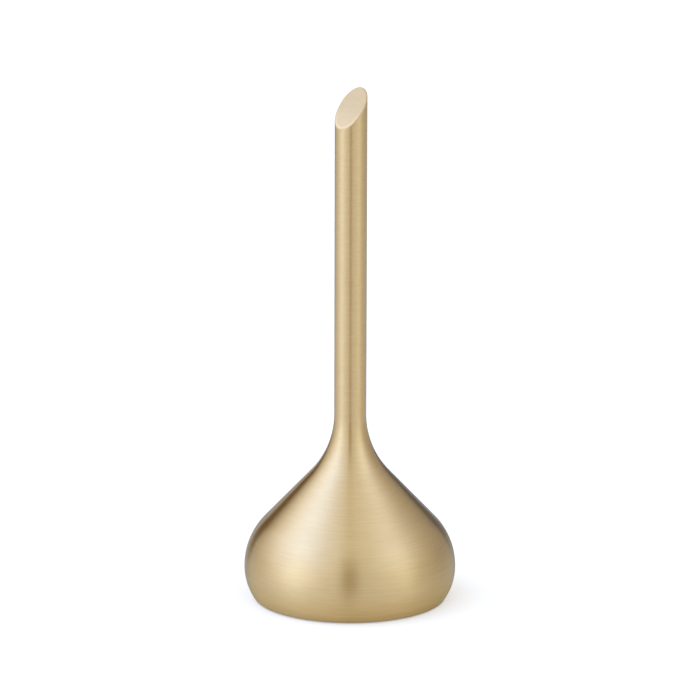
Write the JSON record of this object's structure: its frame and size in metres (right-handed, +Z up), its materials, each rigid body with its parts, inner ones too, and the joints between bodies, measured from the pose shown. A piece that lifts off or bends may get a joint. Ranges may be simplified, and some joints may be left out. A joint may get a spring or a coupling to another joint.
{
  "type": "toilet paper holder",
  "caption": "Free-standing toilet paper holder: a weighted teardrop base flares into a slim round stem with a slanted flat tip that toilet rolls are dropped over.",
  "frame": {"origin": "centre of the foot, on the floor", "axes": "+Z up along the stem, the slanted tip faces -Y, +X to the right seen from the tip's face"},
  "size_m": [0.119, 0.119, 0.2895],
  "materials": {
    "satin_gold_body": "gold plated steel, brushed round the axis",
    "satin_gold_tip": "gold plated steel, brushed in one direction",
    "cast_ballast": "as cast, dark primer",
    "zinc_plate": "zinc plated pressing",
    "zinc_fastener": "bright zinc plated",
    "spring_steel": "blackened spring steel",
    "pad_rubber": "matt, fine grain"
  },
  "bodies": {
    "root": {"body_shell": "satin_gold_body", "neck_flare": "satin_gold_body", "stem_tube": "satin_gold_body", "tip_plate": "satin_gold_tip", "ballast": "cast_ballast", "base_plate": "zinc_plate", "tie_bolt": "zinc_fastener", "spring_washer": "spring_steel", "plain_washer": "zinc_fastener", "pad": "pad_rubber"}
  },
  "joints": []
}
